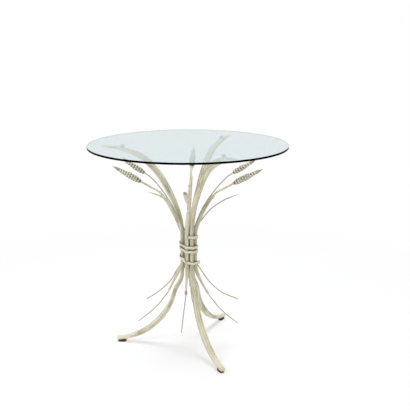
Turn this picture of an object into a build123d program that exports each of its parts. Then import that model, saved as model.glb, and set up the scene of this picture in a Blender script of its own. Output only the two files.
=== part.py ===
from build123d import *
import math
import os

# Wheat sheaf side table: a round glass top on a painted metal sheaf.
# +Z is up and the origin is on the floor, on the axis of the sheaf.
# Azimuths are degrees about that axis, counted from +X towards +Y.
# All sizes are millimetres.

# ---- table ----
TABLE_HEIGHT = 655.0
GLASS_DIAMETER = 610.0
GLASS_THICKNESS = 6.0
GLASS_BEVEL = 1.4
GLASS_LIFT_GAP = 0.3
GLASS_UNDERSIDE = TABLE_HEIGHT - GLASS_THICKNESS

# ---- clearances ----
SEAT_GAP = 0.15
SOCKET_GAP = 0.2
CORE_GAP = 0.3
STRAP_GAP = 0.35

# ---- the waist, where every stalk is bound to the core ----
STALK_DIAMETER = 13.0
WAIST_LOW = 260.0
WAIST_HIGH = 376.0
CORE_RADIUS = 13.8
RING_RADIUS = CORE_RADIUS + CORE_GAP + STALK_DIAMETER / 2
WAIST_RADIUS = RING_RADIUS + STALK_DIAMETER / 2
CORE_OVERRUN = 2.0
LEFT_LEG_SLOT = 180.0
FRONT_LEG_SLOT = 300.0
BACK_LEG_SLOT = 60.0
RIGHT_SLOT = 0.0
BACK_SLOT = 98.0
LEFT_SLOT = 143.5
FRONT_SLOT = 258.0

# ---- legs ----
LEG_NAMES = ("leg_left", "leg_front", "leg_back")
LEG_SLOTS = (LEFT_LEG_SLOT, FRONT_LEG_SLOT, BACK_LEG_SLOT)
FOOT_TURNS = (0.0, 0.0, 4.0)
ARM_TURNS = (4.0, 5.0, 2.0)
FOOT_RADIUS = 234.0
FOOT_WIDTH = 17.0
FOOT_THICKNESS = 11.5
SHIN_WIDTH = 20.0
SHIN_THICKNESS = 16.5
ARM_WIDTH = 20.5
ARM_THICKNESS = 18.5
LEAF_RADIUS = 266.0
LEAF_WIDTH = 2.6
LEAF_THICKNESS = 2.0
LEAF_DROP = 4.5
LEG_CHAMFER = 0.3
LEG_WAIST = 11.6
LEG_SECTIONS = 26

# ---- glides under the feet and bumpers under the glass ----
GLIDE_HEIGHT = 5.5
GLIDE_LENGTH = 27.0
GLIDE_WIDTH = 15.0
GLIDE_SETBACK = 0.5
BUMPER_RADIUS = 200.0
BUMPER_DIAMETER = 12.0
BUMPER_HEIGHT = 7.6
LAND_HEIGHT = GLASS_UNDERSIDE - GLASS_LIFT_GAP - BUMPER_HEIGHT - SEAT_GAP
LAND_COVER = 6.2
LAND_DEPTH = 12.0

# ---- stalks ----
SHEATH_MOUTH = 10.6
SHEATH_TAIL = 6.4
STEM_DIAMETER = 6.4
WIRE_DIAMETER = 3.4
SOCKET_DEPTH = 7.0
BAR_SIDES = 8
SHEATH_SECTIONS = 17
SHEATH_SIDES = 10

# ---- ears ----
EAR_LENGTH = 102.0
INNER_EAR_LENGTH = 82.0
EAR_RADIUS = 10.6
INNER_EAR_RADIUS = 9.4
KERNELS_ROUND = 6
KERNEL_NOTCH = 0.8
KERNEL_ROOT = 0.72
EAR_TIP_SHARE = 0.27
WHORLS = 9
INNER_WHORLS = 7

# ---- strap ----
STRAP_WIDTH = 9.6
STRAP_THICKNESS = 2.4

# ---- heights that the free curves are drawn for, each with the one it stands for ----
LEVELS = ((0.0, 0.0), (260.0, WAIST_LOW), (376.0, WAIST_HIGH), (649.0, GLASS_UNDERSIDE))

os.makedirs("parts", exist_ok=True)


def save(piece, name):
    piece.part.label = name
    export_step(piece.part, "parts/" + name + ".step")
    print(name, round(piece.part.volume), len(piece.part.solids()), piece.part.is_valid)


def at(azimuth, radius, height, shift=0.0):
    """A point at a radius and height in the vertical plane at an azimuth, moved sideways."""
    a = math.radians(azimuth)
    x = radius * math.cos(a) - shift * math.sin(a)
    y = radius * math.sin(a) + shift * math.cos(a)
    return Vector(x, y, height)


def level(height):
    """A height drawn for the usual sizes, carried along when the waist or the glass moves."""
    for (low, real_low), (high, real_high) in zip(LEVELS, LEVELS[1:]):
        if height <= high:
            return real_low + (height - low) * (real_high - real_low) / (high - low)
    return height


def via(azimuth, radius, height, shift=0.0):
    """A point that a free curve passes, at its level."""
    return at(azimuth, radius, level(height), shift)


def sideways(azimuth):
    a = math.radians(azimuth)
    return Vector(-math.sin(a), math.cos(a), 0)


def blend(u, stations):
    """Smooth step between (u, value) stations."""
    for (u0, v0), (u1, v1) in zip(stations, stations[1:]):
        if u <= u1:
            s = max(0.0, (u - u0) / (u1 - u0))
            s = s * s * (3 - 2 * s)
            return v0 + (v1 - v0) * s
    return stations[-1][1]


def bent_route(points):
    """Straight runs joined by tangent arcs as large as the runs allow."""
    runs = [(b - a).length for a, b in zip(points, points[1:])]
    radii = []
    for i in range(1, len(points) - 1):
        turn = (points[i] - points[i - 1]).get_angle(points[i + 1] - points[i])
        reach = 0.45 * min(runs[i - 1], runs[i])
        radii.append(reach / math.tan(math.radians(turn) / 2))
    return FilletPolyline(*points, radius=radii)


def rod(points, diameter):
    """A drawn bar bent along a route."""
    with BuildPart() as bar:
        with BuildLine() as route:
            bent_route(points)
        with BuildSketch(Plane(origin=route.line @ 0, z_dir=route.line % 0)):
            RegularPolygon(diameter / 2, BAR_SIDES)
        sweep()
    return bar


# ================================================================
# Glass top: a plain round pane with a polished, bevelled edge
# ================================================================
with BuildPart() as glass_top:
    with BuildSketch(Plane.XY.offset(GLASS_UNDERSIDE)):
        Circle(GLASS_DIAMETER / 2)
    extrude(amount=GLASS_THICKNESS)
    chamfer(glass_top.edges().filter_by(GeomType.CIRCLE), GLASS_BEVEL)
save(glass_top, "glass_top")

# ================================================================
# Core: the hidden bar that every leg and stalk is welded to
# ================================================================
with BuildPart() as core:
    with BuildSketch(Plane.XY.offset(WAIST_LOW - CORE_OVERRUN)):
        Circle(CORE_RADIUS)
    extrude(amount=WAIST_HIGH - WAIST_LOW + 2 * CORE_OVERRUN)
save(core, "core")


# ================================================================
# Legs: eight sided bars, slim at the waist, with a foot and a leaf
# ================================================================
def leg_centre_line(slot, foot_turn, arm_turn):
    """From the foot up to the waist, straight past it, and out to the leaf under the glass."""
    lower = slot + foot_turn
    upper = slot + arm_turn
    foot = at(lower, FOOT_RADIUS, GLIDE_HEIGHT + SEAT_GAP + FOOT_THICKNESS / 2)
    low = at(slot, RING_RADIUS, WAIST_LOW)
    high = at(slot, RING_RADIUS, WAIST_HIGH)
    tip = at(upper, LEAF_RADIUS, GLASS_UNDERSIDE - LEAF_DROP)
    with BuildLine() as centre:
        Spline(
            foot,
            via(lower, 200, 17),
            via(lower, 150, 37.5),
            via(lower, 100, 78),
            via(lower, 56, 146),
            via(slot + foot_turn / 2, 36, 202),
            low,
            tangents=(at(lower, -1, 0), Vector(0, 0, 1)),
        )
        Line(low, high)
        Spline(
            high,
            via(slot + arm_turn * 0.2, 34.5, 449),
            via(slot + arm_turn * 0.35, 55.5, 499),
            via(slot + arm_turn * 0.6, 82, 548),
            via(slot + arm_turn * 0.85, 117, 592),
            via(upper, 148, 615),
            at(upper, BUMPER_RADIUS, LAND_HEIGHT - LAND_COVER),
            tip,
            tangents=(Vector(0, 0, 1), at(upper, 1, 0.1)),
        )
    return Wire(centre.edges())


def octagon(width, thickness):
    """Leg section: a bar with broad chamfers."""
    c = LEG_CHAMFER * min(width, thickness)
    x = width / 2
    y = thickness / 2
    Polygon(
        (x, y - c), (x - c, y), (c - x, y), (-x, y - c),
        (-x, c - y), (c - x, -y), (x - c, -y), (x, c - y),
        align=None,
    )


def leg_width(u):
    if u > ARM_SHARE:
        s = (u - ARM_SHARE) / (1 - ARM_SHARE)
        return LEAF_WIDTH + (ARM_WIDTH - LEAF_WIDTH) * math.sqrt(max(0.0, 1 - s * s))
    return blend(u, (
        (0.0, FOOT_WIDTH), (FOOT_SHARE, SHIN_WIDTH), (CALF_SHARE, SHIN_WIDTH),
        (LOW_SHARE, LEG_WAIST),
        (HIGH_SHARE, LEG_WAIST), (ARM_SHARE, ARM_WIDTH),
    ))


def leg_thickness(u):
    if u > ARM_SHARE:
        s = (u - ARM_SHARE) / (1 - ARM_SHARE)
        return LEAF_THICKNESS + (ARM_THICKNESS - LEAF_THICKNESS) * (1 - s * s)
    return blend(u, (
        (0.0, FOOT_THICKNESS), (SHIN_SHARE, SHIN_THICKNESS), (LOW_SHARE, LEG_WAIST),
        (HIGH_SHARE, LEG_WAIST), (ARM_SHARE, ARM_THICKNESS),
    ))


def leg_turn(u, foot_turn, arm_turn):
    """The foot and the arm may each turn a little away from the slot at the waist."""
    return blend(u, (
        (0.0, foot_turn), (SHIN_SHARE, foot_turn), (LOW_SHARE, 0.0),
        (HIGH_SHARE, 0.0), (ARM_SHARE, arm_turn),
    ))


# Shares of the leg's length, from the foot, where its section changes
FOOT_SHARE = 0.12
SHIN_SHARE = 0.17
CALF_SHARE = 0.24
LOW_SHARE = 0.415
HIGH_SHARE = 0.53
ARM_SHARE = 0.76
legs = {}

for leg_name, slot, foot_turn, arm_turn in zip(LEG_NAMES, LEG_SLOTS, FOOT_TURNS, ARM_TURNS):
    centre_line = leg_centre_line(slot, foot_turn, arm_turn)
    foot_side = sideways(slot + foot_turn)
    foot_plane = Plane(origin=centre_line @ 0, x_dir=foot_side, z_dir=centre_line % 0)
    with BuildPart() as leg:
        for i in range(LEG_SECTIONS):
            u = i / (LEG_SECTIONS - 1)
            side = sideways(slot + leg_turn(u, foot_turn, arm_turn))
            with BuildSketch(Plane(origin=centre_line @ u, x_dir=side, z_dir=centre_line % u)):
                octagon(leg_width(u), leg_thickness(u))
        loft()
        # softened toe
        with BuildSketch(foot_plane):
            octagon(FOOT_WIDTH, FOOT_THICKNESS)
        with BuildSketch(foot_plane.offset(-FOOT_THICKNESS / 4)):
            octagon(FOOT_WIDTH * 0.75, FOOT_THICKNESS * 0.62)
        loft(ruled=True)
        # level seat for the bumper
        with BuildSketch(Plane(at(slot + arm_turn, BUMPER_RADIUS, LAND_HEIGHT))):
            Circle(BUMPER_DIAMETER / 2 + SOCKET_GAP)
        extrude(amount=LAND_DEPTH, mode=Mode.SUBTRACT)
    legs[leg_name] = leg.part
    save(leg, leg_name)


# ================================================================
# Glides: rubber pads that follow the underside of each foot
# ================================================================
GLIDE_DEPTH = 14.0

for leg_name, slot, foot_turn in zip(LEG_NAMES, LEG_SLOTS, FOOT_TURNS):
    lowered_leg = legs[leg_name].moved(Location((0, 0, -SEAT_GAP)))
    footprint = Plane(
        origin=at(slot + foot_turn, FOOT_RADIUS - GLIDE_SETBACK - GLIDE_LENGTH / 2, 0),
        x_dir=at(slot + foot_turn, 1, 0),
        z_dir=(0, 0, 1),
    )
    with BuildPart() as glide:
        with BuildSketch(footprint):
            RectangleRounded(GLIDE_LENGTH, GLIDE_WIDTH, GLIDE_WIDTH / 2 - SEAT_GAP)
        extrude(amount=GLIDE_DEPTH)
        add(lowered_leg, mode=Mode.SUBTRACT)
    save(glide, leg_name.replace("leg", "glide"))

# ================================================================
# Bumpers: clear discs between the leaves and the glass
# ================================================================
for leg_name, slot, arm_turn in zip(LEG_NAMES, LEG_SLOTS, ARM_TURNS):
    with BuildPart() as bumper:
        with BuildSketch(Plane(at(slot + arm_turn, BUMPER_RADIUS, LAND_HEIGHT + SEAT_GAP))):
            Circle(BUMPER_DIAMETER / 2)
        extrude(amount=BUMPER_HEIGHT)
    save(bumper, leg_name.replace("leg", "bumper"))


# ================================================================
# Wheat stalks: a sheath, a stem, an ear and a wire tail
# ================================================================
def sheath_radius(u, ends):
    """Tail end, full at the waist, slightly drawn in at the mouth."""
    tail_share, mouth_share = ends
    full = STALK_DIAMETER / 2
    return blend(u, (
        (0.0, SHEATH_TAIL / 2), (tail_share, full),
        (mouth_share, full), (1.0, SHEATH_MOUTH / 2),
    ))


def build_sheath(route, side, ends, stem_diameter):
    """A rolled leaf sheath, bored at the mouth for the stem and at the tail for the wire."""
    mouth = Plane(origin=route @ 1, x_dir=side, z_dir=-(route % 1))
    tail = Plane(origin=route @ 0, x_dir=side, z_dir=route % 0)
    # one section more at the bottom of each socket keeps the wall even round it
    socket_share = SOCKET_DEPTH / route.length
    shares = [i / (SHEATH_SECTIONS - 1) for i in range(SHEATH_SECTIONS)]
    shares = sorted(shares + [socket_share, 1 - socket_share])
    with BuildPart() as tube:
        for u in shares:
            with BuildSketch(Plane(origin=route @ u, x_dir=side, z_dir=route % u)):
                RegularPolygon(sheath_radius(u, ends), SHEATH_SIDES)
        loft()
        with BuildSketch(mouth):
            Circle(stem_diameter / 2 + SOCKET_GAP)
        extrude(amount=SOCKET_DEPTH, mode=Mode.SUBTRACT)
        with BuildSketch(tail):
            Circle(WIRE_DIAMETER / 2 + SOCKET_GAP)
        extrude(amount=SOCKET_DEPTH, mode=Mode.SUBTRACT)
    return tube


def ear_envelope(s):
    """Share of the ear's full radius at a share of its length."""
    return blend(s, (
        (0.0, 0.6), (0.2, 0.94), (0.38, 1.0), (0.75, 0.62), (1.0, 0.1),
    ))


def kernel_ring(radius, turn):
    """Outline of one whorl: a ridge for each kernel and a notch beside it."""
    step = 360 / KERNELS_ROUND
    outline = []
    for k in range(KERNELS_ROUND):
        for angle, share in ((0, 1.0), (step / 2, KERNEL_NOTCH)):
            a = math.radians(k * step + turn + angle)
            outline.append((radius * share * math.cos(a), radius * share * math.sin(a)))
    Polygon(*outline, align=None)


def ear_plane(seat, height, length, droop):
    """Plane across the ear at a height. The ear's axis sinks evenly by the droop angle."""
    steps = 12
    place = seat.origin
    for i in range(steps):
        tilt = droop * (i + 0.5) / steps * height / length
        place = place + seat.z_dir.rotate(Axis((0, 0, 0), seat.x_dir), tilt) * (height / steps)
    facing = seat.z_dir.rotate(Axis((0, 0, 0), seat.x_dir), droop * max(0.0, height) / length)
    return Plane(origin=place, x_dir=seat.x_dir, z_dir=facing)


def build_ear(seat, length, girth, whorls, stem_diameter, droop):
    """Whorls of kernels that overlap like tiles, each turned by half a kernel."""
    body = length * (1 - EAR_TIP_SHARE)
    pitch = body / whorls
    collar = stem_diameter / 2 + 1.6
    with BuildPart() as head:
        for i in range(whorls):
            low = i * pitch
            radius = girth * ear_envelope((low + pitch / 2) / length)
            turn = (i % 2) * 180 / KERNELS_ROUND
            with BuildSketch(ear_plane(seat, low, length, droop)):
                kernel_ring(radius * KERNEL_ROOT, turn)
            with BuildSketch(ear_plane(seat, low + pitch, length, droop)):
                kernel_ring(radius, turn)
            loft(ruled=True)
        # smooth tip
        start = body
        shoulder = girth * ear_envelope(start / length) * KERNEL_NOTCH
        for share, width in ((0.0, 1.0), (0.5, 0.68), (1.0, 0.08)):
            height = start + (length - start) * share
            with BuildSketch(ear_plane(seat, height, length, droop)):
                RegularPolygon(shoulder * width, 2 * KERNELS_ROUND)
        loft(ruled=True)
        # collar that takes the stem
        with BuildSketch(seat.offset(-EAR_COLLAR)):
            RegularPolygon(collar, 2 * KERNELS_ROUND)
        with BuildSketch(seat.offset(pitch)):
            RegularPolygon(collar * 1.2, 2 * KERNELS_ROUND)
        loft(ruled=True)
        with BuildSketch(seat.offset(-EAR_COLLAR)):
            Circle(stem_diameter / 2 + SOCKET_GAP)
        extrude(amount=SOCKET_DEPTH, mode=Mode.SUBTRACT)
    return head


EAR_COLLAR = 2.0
EAR_NOD = 33.0


def rise(azimuth, elevation):
    """Unit vector that climbs outwards at an elevation."""
    e = math.radians(elevation)
    return at(azimuth, math.cos(e), math.sin(e))


def stalk(name, azimuth, sheath_points, ends, ear_base, towards, tail_points, droop=0.0):
    """The four pieces of one stalk, in the plane at an azimuth."""
    side = sideways(azimuth)
    with BuildLine() as sheath_line:
        bent_route(sheath_points)
    route = Wire(sheath_line.edges())
    save(build_sheath(route, side, ends, STEM_DIAMETER), name + "_sheath")
    # stem, from the bottom of the mouth to the bottom of the ear's socket
    out = route % 1
    stem_start = route @ 1 - out * (SOCKET_DEPTH - SEAT_GAP)
    stem_end = ear_base + towards * (SOCKET_DEPTH - EAR_COLLAR - SEAT_GAP)
    lead = route @ 1 + out * STEM_LEAD
    arrive = ear_base - towards * STEM_ARRIVE
    save(rod([stem_start, lead, arrive, stem_end], STEM_DIAMETER), name + "_stem")
    seat = Plane(origin=ear_base, x_dir=Vector(0, 0, 1).cross(towards), z_dir=towards)
    head = build_ear(seat, EAR_LENGTH, EAR_RADIUS, WHORLS, STEM_DIAMETER, droop)
    save(head, name + "_ear")
    # wire tail, from the bottom of its socket in the sheath
    down = route % 0
    tail_start = route @ 0 + down * (SOCKET_DEPTH - SEAT_GAP)
    tail_lead = route @ 0 - down * STEM_LEAD
    save(rod([tail_start, tail_lead, *tail_points], WIRE_DIAMETER), name + "_tail")


STEM_LEAD = 12.0
STEM_ARRIVE = 16.0

# Right stalk, straight out along +X
stalk(
    "right", 0,
    [
        via(0, 59, 176), via(0, 42, 206), via(0, 29, 235),
        at(RIGHT_SLOT, RING_RADIUS, WAIST_LOW), at(RIGHT_SLOT, RING_RADIUS, WAIST_HIGH),
        via(0, 28, 402), via(0, 41, 437), via(0, 58, 469), via(0, 77, 494),
    ],
    (0.3, 0.82),
    via(0, 138, 533), rise(0, 27.5),
    [via(0, 106, 113), via(0, 158, 72)],
)

# Back stalk, which leaves the waist a little past the back leg
stalk(
    "back", 90,
    [
        via(90, 59, 176, 0), via(90, 42, 206, 1), via(90, 29, 235, 2),
        at(BACK_SLOT, RING_RADIUS, WAIST_LOW), at(BACK_SLOT, RING_RADIUS, WAIST_HIGH),
        via(90, 26, 405, 2.2), via(90, 36, 445, 1.6), via(90, 51, 482, 1), via(90, 68, 511, 0.5),
    ],
    (0.3, 0.82),
    via(90, 125, 557), rise(90, 27),
    [via(90, 106, 113), via(90, 156, 74)],
)

# Front stalk, steeper than the others, with an ear that nods forward
stalk(
    "front", 270,
    [
        via(270, 50, 192, -5), via(270, 37, 214, -4.8), via(270, 27, 237, -4.5),
        at(FRONT_SLOT, RING_RADIUS, WAIST_LOW), at(FRONT_SLOT, RING_RADIUS, WAIST_HIGH),
        via(270, 27, 401, -3), via(270, 37.5, 429, -0.5), via(270, 51, 451, 3),
    ],
    (0.3, 0.8),
    via(270, 89, 491.5, 8), rise(267, 47),
    [via(270, 96, 140, -9), via(270, 135, 95, -12)],
    droop=EAR_NOD,
)

# Left stalk, bound behind the left leg and bent more than the right one
stalk(
    "left", 180,
    [
        via(180, 65, 178, -13), via(180, 47, 215, -13.5), via(180, 31.5, 249, -13),
        at(LEFT_SLOT, RING_RADIUS, WAIST_LOW + 17), at(LEFT_SLOT, RING_RADIUS, WAIST_HIGH - 14),
        via(180, 29, 390, -14.5), via(180, 45, 430, -15.5), via(180, 64, 466, -14.5),
        via(180, 84, 492, -12),
    ],
    (0.3, 0.82),
    via(180, 146, 534, -3), rise(179, 28.5),
    [via(180, 108, 117, -9), via(180, 166, 69, -5)],
)

# ================================================================
# Inner stalks: thin wires that rise inside the outer ones
# ================================================================
INNER_RADIUS = CORE_RADIUS + CORE_GAP + WIRE_DIAMETER / 2


def inner_stalk(name, azimuth, stem_points, ear_base, ear_elevation):
    towards = rise(azimuth, ear_elevation)
    stem_end = ear_base + towards * (SOCKET_DEPTH - EAR_COLLAR - SEAT_GAP)
    arrive = ear_base - towards * STEM_ARRIVE
    save(rod([*stem_points, arrive, stem_end], WIRE_DIAMETER), name + "_stem")
    seat = Plane(origin=ear_base, x_dir=sideways(azimuth), z_dir=towards)
    head = build_ear(seat, INNER_EAR_LENGTH, INNER_EAR_RADIUS, INNER_WHORLS, WIRE_DIAMETER, 0)
    save(head, name + "_ear")


RIGHT_INNER_SLOT = 330.0
inner_stalk(
    "inner_right", 0,
    [
        at(RIGHT_INNER_SLOT, INNER_RADIUS, WAIST_LOW),
        at(RIGHT_INNER_SLOT, INNER_RADIUS, WAIST_HIGH),
        via(0, 22, 402, -9.5), via(0, 40, 450, -9.5), via(0, 64, 490, -8), via(0, 93, 528, -4),
    ],
    via(0, 136, 566), 31.0,
)

LEFT_INNER_SLOT = 219.0
inner_stalk(
    "inner_left", 180,
    [
        at(LEFT_INNER_SLOT, INNER_RADIUS, WAIST_LOW),
        at(LEFT_INNER_SLOT, INNER_RADIUS, WAIST_HIGH),
        via(180, 25, 416, 14), via(180, 49, 467, 17.5), via(180, 76, 509, 16),
        via(180, 102, 539, 9),
    ],
    via(180, 134, 563, 2), 32.0,
)

# ================================================================
# Awns: long bent wires, free at both ends
# ================================================================
RIGHT_AWN_SLOT = 30.0
right_awn = rod(
    [
        via(0, 157, 156), via(0, 102, 177), via(0, 64, 212, 3), via(0, 41, 246, 6),
        via(0, 24, 270, 10), via(RIGHT_AWN_SLOT, INNER_RADIUS, 290),
        via(RIGHT_AWN_SLOT, INNER_RADIUS, 362), via(0, 24, 388, 10.5),
        via(0, 43, 419, 7), via(0, 67, 450, 3), via(0, 104, 479), via(0, 156, 501),
    ],
    WIRE_DIAMETER,
)
save(right_awn, "right_awn")

LEFT_AWN_SLOT = 120.7
LEFT_AWN_RADIUS = RING_RADIUS + 1.5
left_awn = rod(
    [
        via(180, 137, 147, -6), via(180, 97, 172, -9), via(180, 58, 209, -16),
        via(180, 41, 242, -21.5), via(180, 26, 266, -23), via(180, 12.5, 285, -22.5),
        via(LEFT_AWN_SLOT, LEFT_AWN_RADIUS, 303), via(LEFT_AWN_SLOT, LEFT_AWN_RADIUS, 350),
        via(180, 15, 380, -21.5), via(180, 34, 422, -25), via(180, 60, 463, -24),
        via(180, 90, 488, -16), via(180, 127, 501, -9),
    ],
    WIRE_DIAMETER,
)
save(left_awn, "left_awn")

# ================================================================
# Centre leaf: a pointed blade that stands in the top of the core
# ================================================================
LEAF_BLADE_WIDTH = 10.0
LEAF_BLADE_THICKNESS = 3.0
LEAF_BLADE_TOP = 555.0
LEAF_BLADE_LEAN = 12.0
blade_foot = Vector(0, 0, WAIST_HIGH + CORE_OVERRUN + SEAT_GAP)
blade_tip = Vector(LEAF_BLADE_LEAN, LEAF_BLADE_LEAN, level(LEAF_BLADE_TOP))
with BuildPart() as centre_leaf:
    for share, width in ((0.0, 0.7), (0.3, 0.95), (0.6, 1.0), (0.85, 0.65), (1.0, 0.08)):
        place = blade_foot + (blade_tip - blade_foot) * share
        place = Vector(place.X * share, place.Y * share, place.Z)
        across = LEAF_BLADE_WIDTH * width / 2
        through = LEAF_BLADE_THICKNESS * max(width, 0.3) / 2
        with BuildSketch(Plane(place)):
            Polygon((across, 0), (0, through), (-across, 0), (0, -through), align=None)
    loft()
save(centre_leaf, "centre_leaf")

# ================================================================
# Strap: one flat band wound round the stalks, with a free end
# ================================================================
STRAP_OFFSET = STALK_DIAMETER / 2 + STRAP_GAP + STRAP_THICKNESS / 2
STRAP_START = 266.0
STRAP_FREE_END = 14.0
STRAP_LEAD_IN = 11.0
STRAP_AFTER = FRONT_SLOT
STRAP_BEND = 18.0
STALK_SLOTS = sorted((*LEG_SLOTS, RIGHT_SLOT, BACK_SLOT, LEFT_SLOT, FRONT_SLOT))
STRAP_TURNS = 3
STRAP_HEIGHTS = (
    (266, 367), (360, 361), (540, 341), (630, 332), (720, 328.5), (900, 326.5),
    (990, 318), (1080, 315), (1260, 299), (1350, 281.5), (1440, 273),
)


def strap_height(theta):
    """Height of the band after it has wound through an angle."""
    for (t0, z0), (t1, z1) in zip(STRAP_HEIGHTS, STRAP_HEIGHTS[1:]):
        if theta <= t1:
            return level(z0 + (z1 - z0) * (theta - t0) / (t1 - t0))
    return level(STRAP_HEIGHTS[-1][1])


def band_plane(centre, outward):
    """Plane across the band, where the band faces outward."""
    a = math.radians(outward)
    radial = Vector(math.cos(a), math.sin(a), 0)
    along = Vector(-math.sin(a), math.cos(a), 0)
    return Plane(origin=centre, x_dir=radial, z_dir=along)


def tangent_point(slot, outward, theta):
    """Where the band touches a stalk, with the band facing outward."""
    a = math.radians(outward)
    hold = at(slot, RING_RADIUS, strap_height(theta))
    return hold + Vector(math.cos(a), math.sin(a), 0) * STRAP_OFFSET


def band_profile():
    """Flat inside, softly domed outside."""
    x = STRAP_THICKNESS / 2
    y = STRAP_WIDTH / 2
    Polygon((-x, -y), (x / 2, -y), (x, -y / 2), (x, y / 2), (x / 2, y), (-x, y), align=None)


stops = [360.0 * turn + slot for turn in range(STRAP_TURNS + 1) for slot in STALK_SLOTS]
stops = [stop for stop in stops if STRAP_START < stop <= 360 * STRAP_TURNS + FRONT_LEG_SLOT]
first_facing = (STRAP_AFTER + stops[0]) / 2
first_plane = band_plane(tangent_point(stops[0], first_facing, STRAP_START), first_facing)
across = [first_plane.offset(-STRAP_LEAD_IN)]
for before, stop, after in zip([STRAP_AFTER] + stops, stops, stops[1:] + [stops[-1] + 60]):
    enter = (before + stop) / 2
    leave = (stop + after) / 2
    bends = math.ceil((leave - enter) / STRAP_BEND)
    for bend in range(bends + 1):
        facing = enter + (leave - enter) * bend / bends
        across.append(band_plane(tangent_point(stop, facing, facing), facing))
# free end, straight on past the last stalk
across.append(across[-1].offset(RING_RADIUS + STRAP_FREE_END))

with BuildPart() as strap:
    for plane in across:
        with BuildSketch(plane):
            band_profile()
    loft(ruled=True)
save(strap, "strap")
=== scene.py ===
# %% [markdown]
# # A wheat sheaf side table
# A round glass pane rests on the three leaves of a painted metal wheat sheaf. Legs, stalks and
# wires are bound at the waist by a flat strap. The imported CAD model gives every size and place.
# This script reads it, works each piece up to its finished form, paints it and lights it.

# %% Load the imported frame
import math

import bpy
from mathutils import Matrix, Vector


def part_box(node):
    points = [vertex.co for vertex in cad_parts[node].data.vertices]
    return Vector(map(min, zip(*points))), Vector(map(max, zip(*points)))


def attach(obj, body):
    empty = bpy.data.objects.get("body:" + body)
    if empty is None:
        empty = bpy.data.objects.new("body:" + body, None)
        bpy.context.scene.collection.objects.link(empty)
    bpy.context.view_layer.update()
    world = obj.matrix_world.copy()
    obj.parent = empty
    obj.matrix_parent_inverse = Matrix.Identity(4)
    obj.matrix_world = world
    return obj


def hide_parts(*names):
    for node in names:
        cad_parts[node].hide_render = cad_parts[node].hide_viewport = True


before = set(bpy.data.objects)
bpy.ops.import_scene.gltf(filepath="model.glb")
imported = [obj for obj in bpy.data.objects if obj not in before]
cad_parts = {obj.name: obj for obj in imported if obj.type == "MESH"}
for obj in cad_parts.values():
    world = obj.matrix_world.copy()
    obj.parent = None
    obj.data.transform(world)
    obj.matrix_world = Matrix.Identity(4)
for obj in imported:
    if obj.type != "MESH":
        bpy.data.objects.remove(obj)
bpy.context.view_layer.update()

# %% [markdown]
# ## Helpers
# Blender's operators act on everything that is selected. The frame's own objects are selected
# when they arrive, so each step first clears the selection and then picks one object. A finished
# piece keeps its object at the origin, with its place in its mesh, as the CAD nodes do.

# %% Pick one object
def clear_selection():
    if bpy.context.object and bpy.context.object.mode != "OBJECT":
        bpy.ops.object.mode_set(mode="OBJECT")
    bpy.ops.object.select_all(action="DESELECT")


def pick(piece):
    clear_selection()
    piece.select_set(True)
    bpy.context.view_layer.objects.active = piece


clear_selection()
print("objects in the frame:", len(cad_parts))


# %% Name and settle a piece
def named(name):
    piece = bpy.context.object
    piece.name = name
    piece.data.name = name
    return piece


def settle(piece):
    pick(piece)
    bpy.ops.object.transform_apply(location=True, rotation=True, scale=True)


def triangles(piece):
    return sum(len(face.vertices) - 2 for face in piece.data.polygons)


# %% Select part of a piece in edit mode
def edit_where(piece, test, part="FACE"):
    """Open the piece in edit mode with only the faces, or vertices, that pass the test selected."""
    pick(piece)
    bpy.ops.object.mode_set(mode="EDIT")
    bpy.ops.mesh.select_mode(type=part)
    bpy.ops.mesh.select_all(action="DESELECT")
    bpy.ops.object.mode_set(mode="OBJECT")
    for item in piece.data.polygons if part == "FACE" else piece.data.vertices:
        item.select = test(item)
    bpy.ops.object.mode_set(mode="EDIT")


def close_edit():
    """Turn every face outwards and leave edit mode."""
    bpy.ops.mesh.select_all(action="SELECT")
    bpy.ops.mesh.normals_make_consistent(inside=False)
    bpy.ops.object.mode_set(mode="OBJECT")


# %% Keep glaze and painted shade on a piece
def ramp(value, low, high):
    """0 up to low, 1 from high on, and an even S-curve between them."""
    share = max(0.0, min(1.0, (value - low) / (high - low)))
    return share * share * (3 - 2 * share)


def keep_glaze_and_painted_shade(piece, amount):
    """Store how much glaze and painted shade stays on the selected faces, from 0 for wiped clean to 1.
    """
    if "glaze_and_painted_shade" not in piece.data.attributes:
        piece.data.attributes.new("glaze_and_painted_shade", "FLOAT", "POINT")
    held = piece.data.attributes["glaze_and_painted_shade"].data
    for face in piece.data.polygons:
        if face.select:
            for corner in face.vertices:
                held[corner].value = amount


# the floor of a flute takes a little glaze and painted shade
FLUTE_FLOOR_GLAZE_AND_SHADE = 0.08


def flute(piece, test, rim, wall, depth, line):
    """Press a shallow flute into the faces that pass the test, with a line of glaze and painted shade
    round it.
    """
    edit_where(piece, test)
    bpy.ops.mesh.inset(thickness=rim, use_even_offset=True)
    bpy.ops.object.mode_set(mode="OBJECT")
    keep_glaze_and_painted_shade(piece, line)
    bpy.ops.object.mode_set(mode="EDIT")
    bpy.ops.mesh.inset(thickness=wall, depth=-depth, use_even_offset=True)
    bpy.ops.object.mode_set(mode="OBJECT")
    keep_glaze_and_painted_shade(piece, FLUTE_FLOOR_GLAZE_AND_SHADE)
    bpy.ops.object.mode_set(mode="EDIT")
    close_edit()


# %% Finish a piece: apply its modifiers, smooth it, and hand it to the frame
def soften(piece, width, segments=2, turn=30):
    """Round the piece's sharp edges with a bevel."""
    pick(piece)
    bevel = piece.modifiers.new("soft edges", "BEVEL")
    bevel.width = width
    bevel.segments = segments
    bevel.limit_method = "ANGLE"
    bevel.angle_limit = math.radians(turn)
    bevel.use_clamp_overlap = True
    bpy.ops.object.modifier_apply(modifier=bevel.name)


def smooth(piece, turn=40):
    pick(piece)
    bpy.ops.object.shade_smooth_by_angle(angle=math.radians(turn))


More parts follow.
